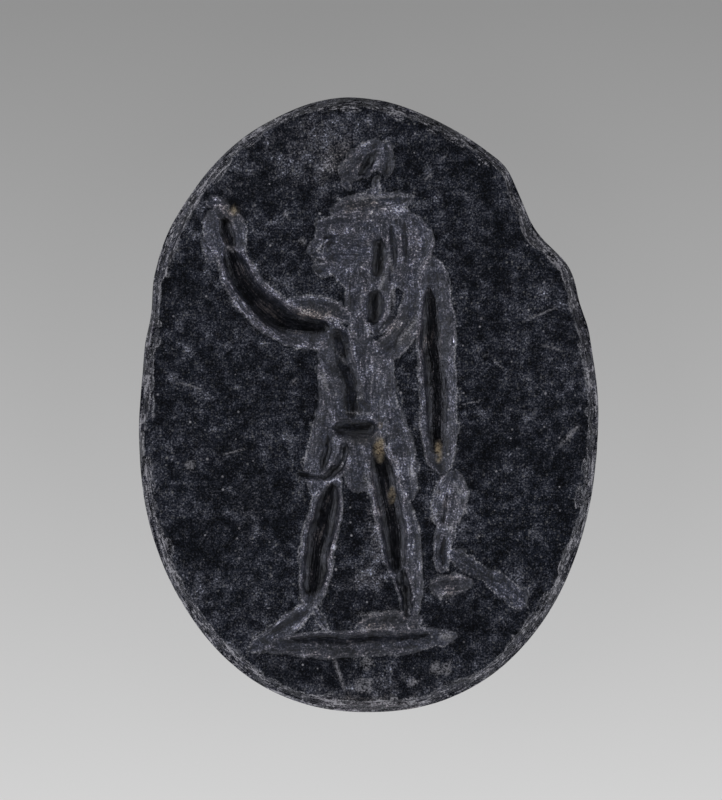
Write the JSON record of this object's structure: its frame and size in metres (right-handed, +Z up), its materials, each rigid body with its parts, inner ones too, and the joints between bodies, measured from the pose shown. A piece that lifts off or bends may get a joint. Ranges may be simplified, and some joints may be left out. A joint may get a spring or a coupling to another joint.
{
  "type": "engraved gem",
  "caption": "Oval intaglio ring stone of dark iron ore, flat on both faces with a bevelled, chipped edge, engraved with a standing crowned figure raising one arm.",
  "frame": {"origin": "centre of the flat back's underside, on the surface that the stone lies on", "axes": "+Z up out of the engraved face, +Y towards the figure's crown along the oval's length, +X to the right across it"},
  "size_m": [0.012, 0.016, 0.003],
  "materials": {
    "hematite": "old polish, near black with pale blue-grey grains, ground grey in the cuts and on the bevel"
  },
  "bodies": {
    "root": {"gem": "hematite"}
  },
  "joints": []
}
